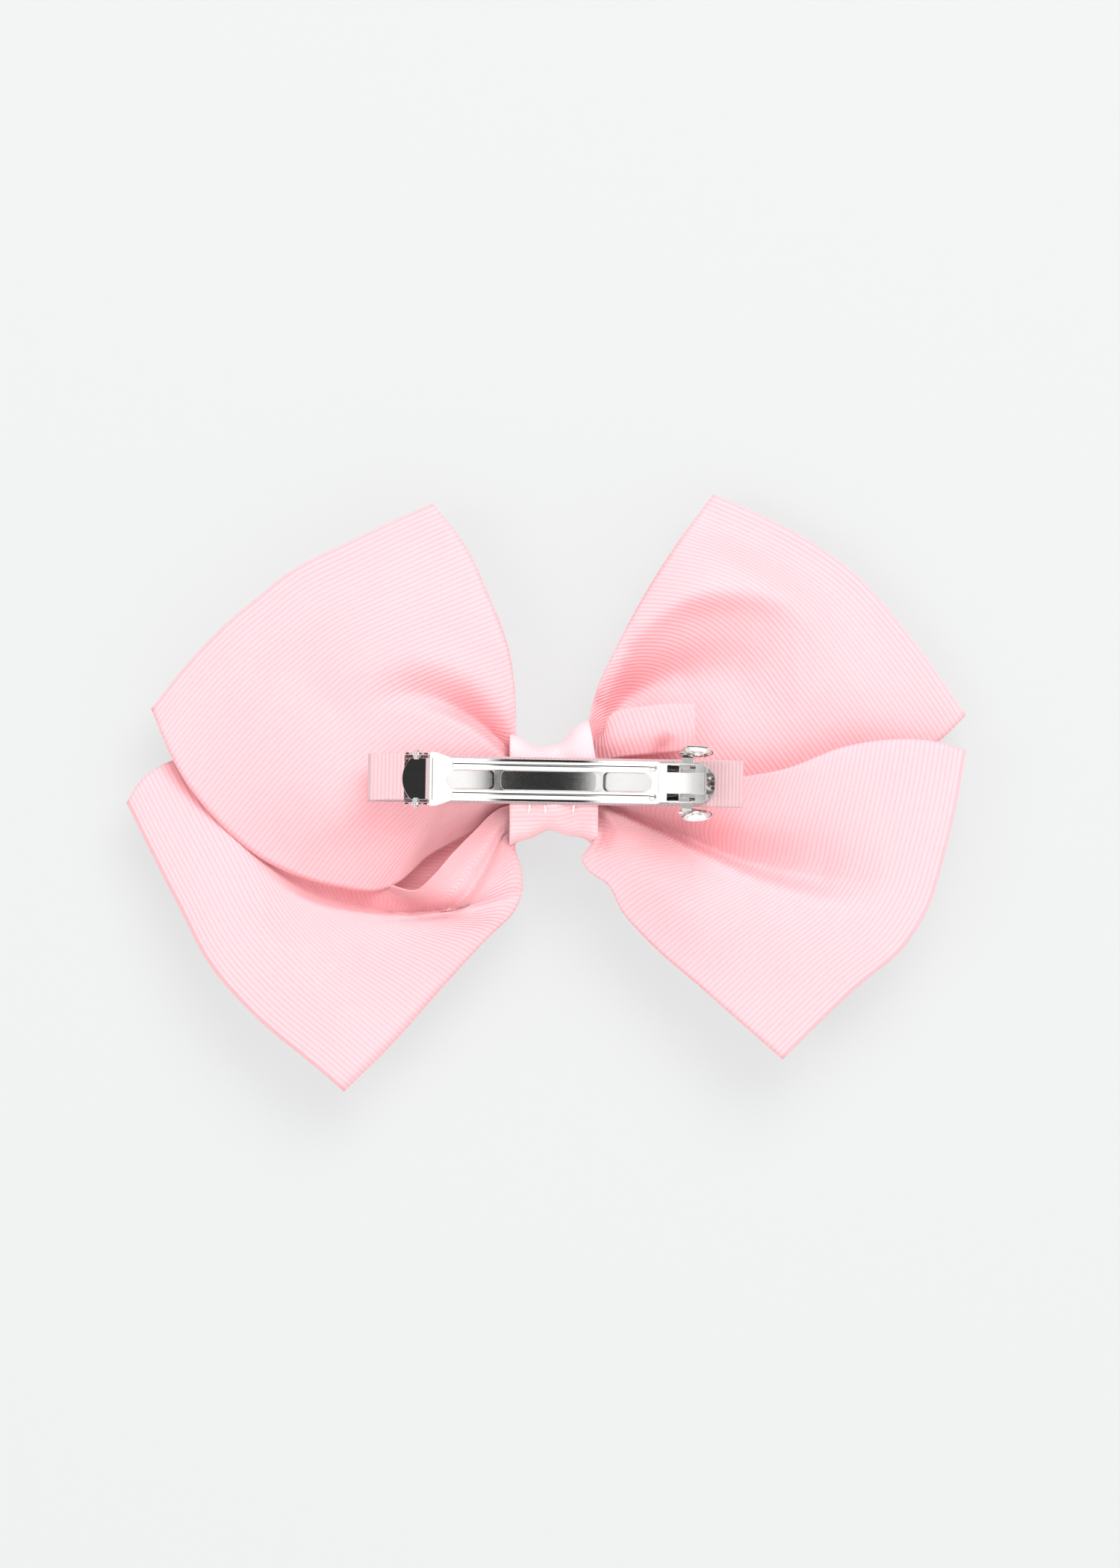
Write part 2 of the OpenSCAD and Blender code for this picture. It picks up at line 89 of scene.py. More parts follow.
def smooth_axis(tab, q):
    """Smooth values of tab's first axis at the places q, 0 to 1."""
    tab = np.asarray(tab, float)
    n = len(tab) - 1
    m = np.gradient(tab, axis=0)
    x = np.clip(q, 0, 1) * n
    i = np.minimum(x.astype(int), n - 1)
    f = (x - i).reshape((-1,) + (1,) * (tab.ndim - 1))
    return (
        (2 * f**3 - 3 * f**2 + 1) * tab[i]
        + (f**3 - 2 * f**2 + f) * m[i]
        + (-2 * f**3 + 3 * f**2) * tab[i + 1]
        + (f**3 - f**2) * m[i + 1]
    )


def over(tab, u, v):
    """A table of depths, rows along the ribbon and columns across it, as a smooth field."""
    a = smooth_axis(tab, u)
    return smooth_axis(a.T, v).T


def spread(value, t):
    """A value, or a row of evenly spaced ones, read at the places t, 0 to 1."""
    value = np.atleast_1d(np.array(value, float))
    if len(value) == 1:
        return np.full_like(t, value[0])
    return np.interp(t, np.linspace(0, 1, len(value)), value)


def furrow(flat, line, amp, left, right, power=2.0):
    """Depth of a furrow along a line, or of a ridge if amp is negative.
    left and right are its reach on each side."""
    c = through(line, 90)
    d = flat[..., None, :] - c
    dist = np.sqrt((d**2).sum(-1))
    k = dist.argmin(-1)
    near = np.take_along_axis(dist, k[..., None], -1)[..., 0]
    tan = np.gradient(c, axis=0)
    off = np.take_along_axis(d, k[..., None, None], -2)[..., 0, :]
    side = tan[k][..., 0] * off[..., 1] - tan[k][..., 1] * off[..., 0]
    t = k / (len(c) - 1)
    w = np.where(side > 0, spread(left, t), spread(right, t))
    return spread(amp, t) * np.exp(-((near / w) ** power))


def coons(s0, s1, root, fold, nu, nv):
    """A flat patch inside four lines: two selvedges, the gathered root and the fold."""
    a, b = through(s0, nu), through(s1, nu)
    r, f = through(root, nv), through(fold, nv)
    u = np.linspace(0, 1, nu)[:, None, None]
    v = np.linspace(0, 1, nv)[None, :, None]
    corner = (1 - u) * (1 - v) * a[0] + (1 - u) * v * b[0] + u * (1 - v) * a[-1] + u * v * b[-1]
    return (1 - v) * a[:, None] + v * b[:, None] + (1 - u) * r[None] + u * f[None] - corner


def place(x, y, z):
    """From the bow as it is seen square on from a metre away, in mm, to the row frame."""
    k = 1 + y / EYE
    x, z = AXIS_X + (x - AXIS_X) * k, AXIS_Z + (z - AXIS_Z) * k
    c, s = math.cos(TURN), math.sin(TURN)
    return np.stack([x * c - z * s, y + 0 * x, x * s + z * c], -1)


# ------------------------------------------------------------------ meshes


def new_mesh(name, verts, faces, uvs=None):
    me = bpy.data.meshes.new(name)
    me.from_pydata((np.asarray(verts) * MM).tolist(), [], faces)
    if uvs is not None:
        layer = me.uv_layers.new(name="cloth")
        idx = np.zeros(len(me.loops), int)
        me.loops.foreach_get("vertex_index", idx)
        layer.data.foreach_set("uv", np.asarray(uvs, np.float32)[idx].ravel())
    me.validate()
    me.polygons.foreach_set("use_smooth", [True] * len(me.polygons))
    me.update()
    ob = bpy.data.objects.new(name, me)
    bpy.context.scene.collection.objects.link(ob)
    return ob


def rib(a, pitch):
    """Rounded cords with a narrow groove between them, from -1 to 1."""
    return 1 - 2 * np.abs(np.cos(np.pi * a / pitch)) ** 3


def even(values, across, reach):
    """Each row of values with the sharp differences between neighbouring columns evened out."""
    d = across[None] - across[:, None]
    w = np.exp(-((d / reach) ** 2))
    s0, s1, s2 = w.sum(1), (w * d).sum(1), (w * d * d).sum(1)
    w = w * (s2[:, None] - s1[:, None] * d) / (s0 * s2 - s1**2)[:, None]
    return np.maximum.accumulate(values @ w.T, axis=0)


def woven(name, paths, across, zero_row=0, pitch=RIB_BOW, high=0.075, thick=0.34, per=4):
    """A ribbon as a closed mesh with its cords modelled. paths[i, j] is the point i along
    column j, mm; across[j] is the column's place across the cut ribbon, and the cords are
    counted from the row zero_row, with per rows of points to a cord."""
    n, m = paths.shape[:2]
    seg = np.linalg.norm(np.diff(paths, axis=0), axis=2)
    run = even(np.vstack([np.zeros(m), np.cumsum(seg, axis=0)]), across, 0.07 * across[-1])
    zero = run[zero_row]
    du = np.gradient(paths, axis=0)
    dv = np.gradient(paths, axis=1)
    nor = np.cross(du, dv)
    nor /= np.maximum(np.linalg.norm(nor, axis=2, keepdims=True), 1e-9)
    da = pitch / per
    lo = int(math.ceil(zero.max() / da))
    hi = int(math.ceil((run[-1] - zero).max() / da))
    a = np.arange(-lo, hi + 1) * da
    rows = len(a)
    mid, up = np.zeros((rows, m, 3)), np.zeros((rows, m, 3))
    aa = np.zeros((rows, m))
    for j in range(m):
        at = np.clip(a + zero[j], 0, run[-1, j])
        aa[:, j] = at - zero[j]
        for k in range(3):
            mid[:, j, k] = np.interp(at, run[:, j], paths[:, j, k])
            up[:, j, k] = np.interp(at, run[:, j], nor[:, j, k])
    up /= np.maximum(np.linalg.norm(up, axis=2, keepdims=True), 1e-9)
    edge = np.minimum(np.arange(m), np.arange(m)[::-1])
    calm = np.clip(edge / 1.5, 0.0, 1.0)  # a flat selvedge along each side
    cord = rib(aa, pitch) * (0.25 + 0.75 * calm[None]) - 0.6 * (1 - calm[None])
    h = (thick / 2 + high * cord)[..., None]
    top, bot = mid + up * h, mid - up * h
    ident = np.arange(rows * m).reshape(rows, m)
    for j in range(m):  # columns that end early share their last vertex
        live = np.flatnonzero((a + zero[j] >= 0) & (a + zero[j] <= run[-1, j]))
        first, last = max(live[0] - 1, 0), min(live[-1] + 1, rows - 1)
        ident[:first, j] = ident[first, j]
        ident[last + 1 :, j] = ident[last, j]
    used, back = np.unique(ident, return_inverse=True)
    back = back.reshape(rows, m)
    nv = len(used)
    verts = np.vstack([top.reshape(-1, 3)[used], bot.reshape(-1, 3)[used]])
    uv = np.stack([aa, np.broadcast_to(across, (rows, m))], -1).reshape(-1, 2)[used] / 100.0
    q = np.stack([back[:-1, :-1], back[1:, :-1], back[1:, 1:], back[:-1, 1:]], -1).reshape(-1, 4)
    faces, count = [], {}
    for f in q.tolist():
        g = [x for i, x in enumerate(f) if x != f[i - 1]]
        if len(set(g)) < 3 or len(set(g)) != len(g):
            continue
        faces.append(g)
    for g in faces:
        for i in range(len(g)):
            e = (g[i - 1], g[i])
            count[e] = count.get(e, 0) + 1
    rim = [e for e in count if (e[1], e[0]) not in count]
    all_faces = faces + [[x + nv for x in reversed(g)] for g in faces]
    all_faces += [[e[1], e[0], e[0] + nv, e[1] + nv] for e in rim]
    return new_mesh(name, verts, all_faces, np.vstack([uv, uv]))


def lip(flat, line, deep, proud, above, below, edge, flip=1):
    """A fold that hides its own hollow: the layer sinks by deep on one side of a line and
    stands proud on the other."""
    c = through(line, 120)
    d = flat[..., None, :] - c
    dist = np.sqrt((d**2).sum(-1))
    k = dist.argmin(-1)
    near = np.take_along_axis(dist, k[..., None], -1)[..., 0]
    tan = np.gradient(c, axis=0)
    off = np.take_along_axis(d, k[..., None, None], -2)[..., 0, :]
    s = near * np.sign(flip * (tan[k][..., 0] * off[..., 1] - tan[k][..., 1] * off[..., 0]))
    t = k / (len(c) - 1)
    # past the ends of the line the fold dies away
    past = np.minimum(((off * tan[k]).sum(-1) / np.linalg.norm(tan[k], axis=-1)) ** 2, 400)
    fade = np.exp(-past / 9.0)
    edge = spread(edge, t)
    hollow = spread(deep, t) * np.exp(-((np.abs(s) / spread(above, t)) ** 2))
    crest = -spread(proud, t) * np.exp(-((np.abs(s) / spread(below, t)) ** 1.4))
    q = np.clip((s + edge) / (2 * edge), 0, 1)
    q = q * q * (3 - 2 * q)
    return fade * (q * hollow + (1 - q) * crest)


def loop(name, s0, s1, root, fold, yb, yf, marks=(), lips=(), shrink=0.0, dense=None, wider=0.0):
    """One loop of the bow: a near layer from the knot out to the fold and a far layer back to
    the knot. s0 and s1 are the selvedges, yb and yf the two layers' depths, marks and lips the
    near layer's furrows and folds, and wider moves the far layer's first selvedge out."""
    u, v = np.linspace(0, 1, NU), np.linspace(0, 1, NV)
    xz = coons(s0, s1, root, fold, NU, NV)
    if dense:  # columns crowded where a fold runs along the ribbon
        v = np.interp(v, *dense)
        at = v * (NV - 1)
        i = np.minimum(at.astype(int), NV - 2)
        f = (at - i)[None, :, None]
        xz = xz[:, i] * (1 - f) + xz[:, i + 1] * f
    mid = 0.5 * (xz[:, :1] + xz[:, -1:])
    xz_f = mid + (xz - mid) * (1 - shrink * np.sin(np.pi * u)[:, None, None])
    off = xz_f[:, :1] - xz_f[:, -1:]
    off = off / np.linalg.norm(off, axis=2, keepdims=True)
    by_u = np.clip(u * 6, 0, 1) * np.clip(1.9 - 3.2 * u, 0, 1)
    xz_f = xz_f + wider * off * by_u[:, None, None] * ((1 - v) ** 2)[None, :, None]
    keep = (1 - u**8)[:, None] * np.clip(u * 14, 0, 1)[:, None]
    flat = np.zeros((NU, NV))
    y_b = over(yb, u, v) + keep * (
        sum((furrow(xz, *m) for m in marks), flat) + sum((lip(xz, *m) for m in lips), flat)
    )
    y_f = np.maximum(over(yf, u, v), y_b + 1.2)
    s = (1 - u)[:, None] * 80
    tip = np.sqrt(np.clip(1 - (1 - np.clip(s, 0, 1)) ** 2, 0, 1))
    blend = np.clip(s / 16, 0, 1)
    blend = blend * blend * (3 - 2 * blend)
    mean = 0.5 * (over(yb, u, v)[-1:] + over(yf, u, v)[-1:])
    y_b = mean + (y_b - mean) * blend - tip * (1 - 0.7 * blend)
    y_f = mean + (y_f - mean) * blend + tip * (1 - 0.7 * blend)
    far = place(xz_f[..., 0], y_f, xz_f[..., 1])
    path = np.concatenate([place(xz[..., 0], y_b, xz[..., 1]), far[::-1][1:]], 0)
    length = np.linalg.norm(np.diff(path, axis=0), axis=2).sum(0).mean()
    return woven(name, path, v * WIDE, NU - 1), float(length)


# ------------------------------------------------------------------ the four loops

parts = {}
parts["ul"] = loop(
    "loop_upper_left",
    [(-6.6, 4.0), (-8.5, 9.5), (-8.8, 16.4), (-10.2, 27.3), (-14.2, 38.1), (-19.3, 49.0),
     (-25.9, 57.5)],
    [(-6.6, -4.0), (-11.7, -5.0), (-18, -10.5), (-22.7, -13.1), (-27.4, -15.9), (-30.6, -19.1),
     (-33.4, -21.4), (-37.5, -22.8), (-46, -22.0), (-61.5, -16.1), (-70.5, -8.5), (-77, -0.6),
     (-84.3, 14.9)],
    [(-6.6, 4.0), (-6.6, -4.0)],
    [(-25.9, 57.5), (-33, 54.4), (-44.5, 49), (-55.2, 43.6), (-62.2, 38.1), (-68.7, 32.7),
     (-74.1, 27.3), (-84.3, 14.9)],
    [[9.4, 9.0, 9.0, 11.5], [12.0, 8.4, 8.6, 15.0], [13.5, 8.6, 7.8, 14.8],
     [14.0, 9.6, 9.0, 14.0], [13.6, 13.2, 13.2, 13.6]],
    [[13.4, 13.8, 13.8, 14.2], [16.5, 15.2, 14.8, 16.6], [18.5, 18.5, 16.6, 16.6],
     [18.5, 19.5, 17, 16.6], [13.6, 13.2, 13.2, 13.6]],
    marks=[
        ([(-9.5, 17.5), (-17, 23), (-27, 26.5), (-38, 25), (-48, 17)],
         (-1.6, -3.6, -4.4, -2.8, 0), (5, 6.5, 8), (7, 9, 12)),
        ([(-11, -2), (-24, -1), (-36, -2.5), (-46, -7), (-55, -16)], (-0.6, -2.2, -3.4, -2.4, 0),
         (6, 6, 5), 10),
        ([(-13, -8), (-22, -14), (-31, -19)], (0.5, 0.7, 0.3), 4, 6),
    ],
    lips=[
        ([(-9.2, 3.8), (-12, 6.8), (-17, 11.2), (-22.8, 14.4), (-30, 16.2), (-40, 15.5)],
         (3.2, 6.0, 6.0, 3.0, 0.8, 0), (0.2, 0.8, 1.0, 0.6, 0.2, 0), (2.6, 4.0, 5.2, 6.5),
         (5, 8, 9), (1.2, 1.4, 2.2, 3.5), -1),
    ],
    shrink=0.03,
)
parts["ll"] = loop(
    "loop_lower_left",
    [(-6.6, -4.6), (-11.5, -5.4), (-17.8, -10.9), (-22, -15.2), (-25.9, -19.7), (-29.4, -22.6),
     (-35, -21.4), (-46, -14.5), (-62, -6), (-76.3, 5.0), (-86, 0.6), (-89.4, -4.5)],
    [(-6.6, -10.5), (-8.8, -13), (-7.7, -18), (-7.3, -22.3), (-8.8, -26.6), (-14.4, -32.4),
     (-24.3, -43.2), (-33.9, -54.1), (-44.3, -64.4)],
    [(-6.6, -4.6), (-6.6, -10.5)],
    [(-89.4, -4.5), (-84, -15.5), (-78.6, -26), (-72.4, -37.8), (-62.9, -48.7), (-50, -59.5),
     (-44.3, -64.4)],
    [[9.4, 10, 11, 12.4], [8.8, 9.4, 10.4, 12], [9.0, 9.6, 10.4, 12], [15.0, 13.2, 12, 12.8],
     [17.5, 14, 12, 13], [18.6, 14, 11.0, 12.6], [19.2, 13.6, 10.2, 11.6],
     [18.4, 12.6, 9.0, 10.2], [16.4, 12.2, 9.2, 9.8]],
    [[15.5, 17, 18.5, 19.5], [20, 22.5, 23, 21], [22.5, 25.5, 25, 21.5], [22.5, 25, 24, 20.5],
     [16.4, 12.2, 9.2, 9.8]],
    marks=[
        ([(-11.2, -13), (-11.5, -17), (-11.6, -22)], (0.0, 0.6, 0.3), 2.6, 1.8),
        ([(-66, -20), (-63, -34), (-64, -46)], (1.6, 1.6, 0.4), 7, 7),
    ],
    lips=[
        ([(-68, -10.5), (-60.5, -18.6), (-52.2, -24.2), (-41.4, -27.0), (-27, -27.6),
          (-16, -25.8), (-7.8, -23.4)], (0, 2.0, 5.0, 6.5, 4.5, 1.6, 0.8),
         (0, 1.0, 2.2, 3.0, 2.6, 1.2, 0.6), (4, 6, 6, 4.5, 2.6, 2.4), (16, 18, 16, 12),
         (2.5, 1.2, 0.6, 0.6, 0.8), 1),
    ],
    shrink=0.02,
    dense=((0, 0.5, 0.8, 1), (0, 0.27, 0.62, 1)),
    wider=10.0,
)
parts["ur"] = loop(
    "loop_upper_right",
    [(6.6, -5), (20, -9), (40, -6), (60, 2), (78.7, 8.0), (84.6, 13.6)],
    [(6.2, 6.5), (6.4, 10.5), (7.4, 16.4), (9.3, 21.9), (11.9, 27.3), (17.7, 38.1), (24.6, 49),
     (32.2, 59.4)],
    [(6.6, -5), (6.2, 6.5)],
    [(84.6, 13.6), (77.8, 23.6), (70.2, 33.5), (60.9, 43.6), (51.5, 50.2), (42.3, 55),
     (32.2, 59.4)],
    [[16, 14, 13, 12.0], [16.5, 14.5, 14.0, 12.0], [17, 13.5, 11.0, 13.0], [17.5, 13, 10.5, 13.5],
     [19, 18, 17.5, 18]],
    [[19.5, 19, 18, 17], [22, 23.5, 23, 20.5], [22.5, 25.5, 25, 21.5], [22, 25, 24, 20.5],
     [19, 18, 17.5, 18]],
    marks=[
        ([(8.5, 20), (14.4, 29.5), (25.3, 38.5), (45, 40.5), (62, 35)],
         (-1.8, -5.0, -6.4, -5.4, -1.5), (5, 9, 13, 14), (3, 4.2, 5, 8)),
        ([(8.5, 8), (12, 15), (19, 19.5), (32, 22.5), (50, 23)], (4.4, 7.0, 7.2, 4.8, 0.8),
         (2.5, 5, 8, 11), (3, 5, 9, 13)),
        ([(8.2, 8), (10.6, 17), (13.4, 25)], (-1.4, -2.4, -0.6), 1.6, 1.6),
    ],
    shrink=0.02,
)
parts["lr"] = loop(
    "loop_lower_right",
    [(6.6, 3.5), (20, 0), (38.3, 0.9), (47, 2.5), (59.4, 7.1), (70.2, 8.7), (78, 8.3), (84.6, 6.4)],
    [(6.6, -6.6), (7.4, -10.2), (6.9, -13.4), (5.0, -16.4), (6.2, -18.4), (10.4, -21.5),
     (13.3, -27), (18, -32.4), (30.1, -43.2), (46.6, -57.7)],
    [(6.6, 3.5), (6.6, -6.6)],
    [(84.6, 6.4), (82.6, -5.3), (80, -16.1), (76.8, -26.4), (72.4, -33.6), (61.1, -43.6),
     (46.6, -57.7)],
    [[9.4, 9.0, 9.2, 10.4], [10.0, 10.4, 9.0, 9.6], [9.6, 11, 8.2, 10.4], [10.2, 9.8, 7.2, 8.8],
     [11.6, 9.6, 7.4, 8.0]],
    [[13.2, 13.8, 13.8, 13.8], [14.8, 15.2, 15.8, 15.5], [15.4, 16.6, 18.6, 18.4],
     [15.4, 18.5, 19.5, 18.4], [11.6, 9.6, 7.4, 8.0]],
    marks=[
        ([(12, -11), (20, -20), (32, -32)], (-0.8, -1.4, -0.6), 7, 7),
        ([(8.4, -7.4), (10.6, -10.6), (9.6, -13), (7.4, -15.4)], (1.2, 1.8, 1.6, 0.4), 1.3, 1.3),
        ([(7.6, -9), (8.4, -12), (6.6, -15)], (-0.6, -0.9, -0.3), 0.9, 0.9),
    ],
    lips=[
        ([(8.3, -4.6), (13, -6.6), (18.5, -8.9), (27.8, -13.3), (37, -17.6), (46.3, -20.7),
          (55.5, -22.8), (67, -24.2)], (1.8, 4.6, 7.2, 8.2, 6.6, 1.6),
         (0.4, 1.0, 1.8, 1.6, 0.6, 0), (3.5, 5.5, 7.5, 10, 12), (10, 13, 16, 18),
         (0.8, 1.0, 1.3, 2.4, 4.5), 1),
    ],
    shrink=0.03,
)

# ------------------------------------------------------------------ knot, tail and lining


def knot_wrap(name):
    """The band round the middle: one strip wrapped round and pulled in by the gathering."""
    around, along = 300, 37
    t = np.linspace(0, 1, along)
    x = -10.0 + 18.4 * t
    hem = through([(-10.2, 9.8), (-7.8, 8.9), (-5.2, 7.7), (-2.3, 6.6), (0.6, 7.3), (3.6, 9.6),
                   (6.2, 11.4), (8.6, 12.6)], 120)
    top = np.interp(x, hem[:, 0], hem[:, 1])
    hem = through([(-10.2, -13.6), (-8, -12.4), (-4.5, -10.9), (-0.8, -10.4), (3.2, -11),
                   (6.4, -12.5), (8.6, -13.9)], 120)
    low = np.interp(x, hem[:, 0], hem[:, 1])
    a = np.linspace(0, 2 * np.pi, around + 1)[:, None]
    s = ((x + 1) / 8.8)[None]
    cz, hz = (0.5 * (top + low))[None], (0.5 * (top - low))[None]
    hy, cy = 8.7 + 0.4 * s * s, 14.6 + 0.4 * s * s
    drift = 2.4 * t[None] + 0.22 * np.sin(a) + 0.1 * np.cos(2 * a)
    pleat = 0.42 * np.sin(2 * np.pi * drift) * np.sin(np.pi * t[None]) ** 0.5
    ca, sa = np.cos(a), np.sin(a)
    y = cy - (hy + pleat) * np.sign(ca) * np.abs(ca) ** 0.5
    z = cz + (hz + pleat) * np.sign(sa) * np.abs(sa) ** 0.7
    # the right-hand edge draws in above, where the upper loop comes out of the band
    x = -10.0 + t[None] * (18.4 - 1.9 * np.clip(sa, 0, 1))
    world = place(x, y, z)[::-1]
    ob = woven(name, world, t * 24.0, pitch=RIB_BAND, high=0.06, thick=0.36)
    return ob, float(np.linalg.norm(np.diff(world, axis=0), axis=2).sum(0).mean())


band, band_len = knot_wrap("knot_wrap")


def cut_tail():
    """The strip's cut end, lying out from the knot at the upper right."""
    nu, nv = 90, 19
    u, v = np.linspace(0, 1, nu), np.linspace(0, 1, nv)
    xz = coons(
        [(6.0, 8.0), (9, 9.5), (10.5, 13.3), (19.1, 15.7), (28.4, 16.1)],
        [(6.0, 3.5), (12, 4.8), (20, 5.6), (28.4, 6.4)],
        [(6.0, 8.0), (6.0, 3.5)],
        [(28.4, 16.1), (28.5, 11), (28.4, 6.4)],
        nu,
        nv,
    )
    y = over([[12.4, 12.4, 12.4], [8.4, 8.0, 8.8], [6.4, 6.6, 7.9], [6.2, 6.4, 7.7]], u, v)
    y = y + furrow(xz, [(20.5, 4.5), (21.8, 7.4), (23.6, 9.6)], (2.2, 1.8, 0), 1.5, 1.5)
    y = y + furrow(xz, [(9, 8), (16, 9), (28.4, 9.5)], (-0.5, -0.4, -0.2), 2.5, 2.5)
    world = place(xz[..., 0], y, xz[..., 1])
    ob = woven("ribbon_tail_end", world, v * 20.0)
    return ob, float(np.linalg.norm(np.diff(world, axis=0), axis=2).sum(0).mean())


tail_end, tail_len = cut_tail()


def lining():
    """The narrow ribbon glued along the base plate's outer face and turned over the hinge end."""
    off = PLATE_T + 0.08 + 0.225  # plate, glue and half the ribbon with its cords
    y0, r = PLATE_TOP + off, PLATE_R + off
    th = np.linspace(math.asin(38.4 / r), -math.asin(38.6 / r), 420)
    face = np.stack([r * np.sin(th), y0 - r + r * np.cos(th)], -1)
    t = th[-1]
    tan, nrm = np.array([-math.cos(t), math.sin(t)]), np.array([math.sin(t), math.cos(t)])
    turn = 0.95
    phi = np.linspace(0, math.radians(165), 40)[1:, None]
    c0 = face[-1] - nrm * turn
    bend = c0 + turn * (np.cos(phi) * nrm + np.sin(phi) * tan)
    e, g = bend[-1], bend[-1] - bend[-2]
    g = g / np.linalg.norm(g)
    lap = e + np.linspace(0, 6.4, 50)[1:, None] * g
    line = np.vstack([face, bend, lap])
    along = np.concatenate([[0], np.cumsum(np.linalg.norm(np.diff(line, axis=0), axis=1))])
    m = 25
    w = np.linspace(-4.9, 4.9, m)
    # the turned end lies a little askew
    over_end = np.clip((along - along[len(face) - 1]) / 6.0, 0, 1)
    pts = np.zeros((len(line), m, 3))
    for j in range(m):
        pts[:, j, 0], pts[:, j, 1] = line[:, 0], line[:, 1]
        pts[:, j, 2] = w[j]
    pts[..., 2] += 0.35 * over_end[:, None]
    ob = woven("lining_strip", pts, w + 4.9, pitch=RIB_LINING, high=0.05, thick=0.3)
    return ob, float(along[-1])


lining_strip, lining_len = lining()


def rope(name, points, radius, strands=3, twist=0.5, sides=20):
    """Twisted thread along a line of points."""
    p = through(points, max(24, int(len(points) * 14)))
    run = np.concatenate([[0], np.cumsum(np.linalg.norm(np.diff(p, axis=0), axis=1))])
    tan = np.gradient(p, axis=0)
    tan /= np.linalg.norm(tan, axis=1, keepdims=True)
    ref = np.array([0.3, 1.0, 0.2])
    s1 = np.cross(tan, ref)
    s1 /= np.linalg.norm(s1, axis=1, keepdims=True)
    s2 = np.cross(tan, s1)
    a = np.linspace(0, 2 * np.pi, sides, endpoint=False)
    phase = 2 * np.pi * run / twist
    swell = np.abs(np.cos(strands * (a[None] - phase[:, None] / strands) / 2)) ** 0.7
    r = radius * (0.86 + 0.14 * swell)
    ca, sa = np.cos(a)[None, :, None], np.sin(a)[None, :, None]
    v = p[:, None] + r[..., None] * (ca * s1[:, None] + sa * s2[:, None])
    n = len(p)
    faces = [
        [i * sides + j, i * sides + (j + 1) % sides, (i + 1) * sides + (j + 1) % sides,
         (i + 1) * sides + j]
        for i in range(n - 1)
        for j in range(sides)
    ]
    verts = np.vstack([v.reshape(-1, 3), p[:1] - tan[:1] * radius * 0.3,
                       p[-1:] + tan[-1:] * radius * 0.3])
    for j in range(sides):
        faces.append([n * sides, (j + 1) % sides, j])
        faces.append([n * sides + 1, (n - 1) * sides + j, (n - 1) * sides + (j + 1) % sides])
    return new_mesh(name, verts, faces)


def stitch(name, x, z_low, z_high, lean):
    """One short hand stitch over the knot band, its ends sunk in the cloth."""
    zs = np.linspace(z_low, z_high, 9)
    q = (zs - z_low) / (z_high - z_low)
    y = 5.72 - 0.22 * np.sin(np.pi * q) + 0.5 * (np.abs(2 * q - 1) ** 6)
    return rope(name, place(x + lean * (q - 0.5), y, zs), 0.17)


stitches = [
    stitch("stitch_thread_left", -5.9, -6.6, -4.5, 0.3),
    stitch("stitch_thread_middle", -2.6, -6.5, -4.7, -0.15),
    stitch("stitch_thread_right", 3.3, -6.5, -4.6, 0.25),
]
TURNS, STEPS = 5, 48
ring = []
for i in range(TURNS * STEPS + 1):
    a = 2 * math.pi * i / STEPS
    x = -1.9 + 0.85 * i / STEPS
    ring.append((x, 14.55 - 6.9 * math.copysign(abs(math.cos(a)) ** 0.8, math.cos(a)),
                 -1.5 + 7.4 * math.copysign(abs(math.sin(a)) ** 0.8, math.sin(a))))
ring = np.array(ring)
ring = place(ring[:, 0], ring[:, 1], ring[:, 2])
thread = rope("gathering_thread_turns", ring, 0.36, twist=1.4, sides=10)

# ------------------------------------------------------------------ materials


def finish(ob, mat):
    ob.data.materials.clear()
    ob.data.materials.append(mat)


def lin(rgb):
    """An sRGB colour, 0 to 255, as the linear one that a shader takes."""
    out = []
    for c in rgb:
        c = c / 255.0
        out.append(c / 12.92 if c <= 0.04045 else ((c + 0.055) / 1.055) ** 2.4)
    return (*out, 1.0)


class Nodes:
    def __init__(self, name):
        self.mat = bpy.data.materials.new(name)
        self.mat.use_nodes = True
        self.t = self.mat.node_tree
        self.t.nodes.clear()
        self.out = self.t.nodes.new("ShaderNodeOutputMaterial")

    def add(self, kind, **kw):
        n = self.t.nodes.new("ShaderNode" + kind)
        for k, v in kw.items():
            if k.startswith("i_"):
                n.inputs[k[2:].replace("_", " ")].default_value = v
            else:
                setattr(n, k, v)
        return n

    def link(self, a, b):
        self.t.links.new(a, b)

    def math(self, op, a, b=None, clamp=False):
        n = self.add("Math", operation=op, use_clamp=clamp)
        for i, x in enumerate((a, b)):
            if x is None:
                continue
            if isinstance(x, (int, float)):
                n.inputs[i].default_value = x
            else:
                self.link(x, n.inputs[i])
        return n.outputs[0]

    def ramp(self, fac, stops):
        n = self.add("ValToRGB")
        e = n.color_ramp.elements
        while len(e) < len(stops):
            e.new(0.5)
        for k, (p, c) in zip(e, stops):
            k.position, k.color = p, c
        self.link(fac, n.inputs[0])
        return n.outputs[0]


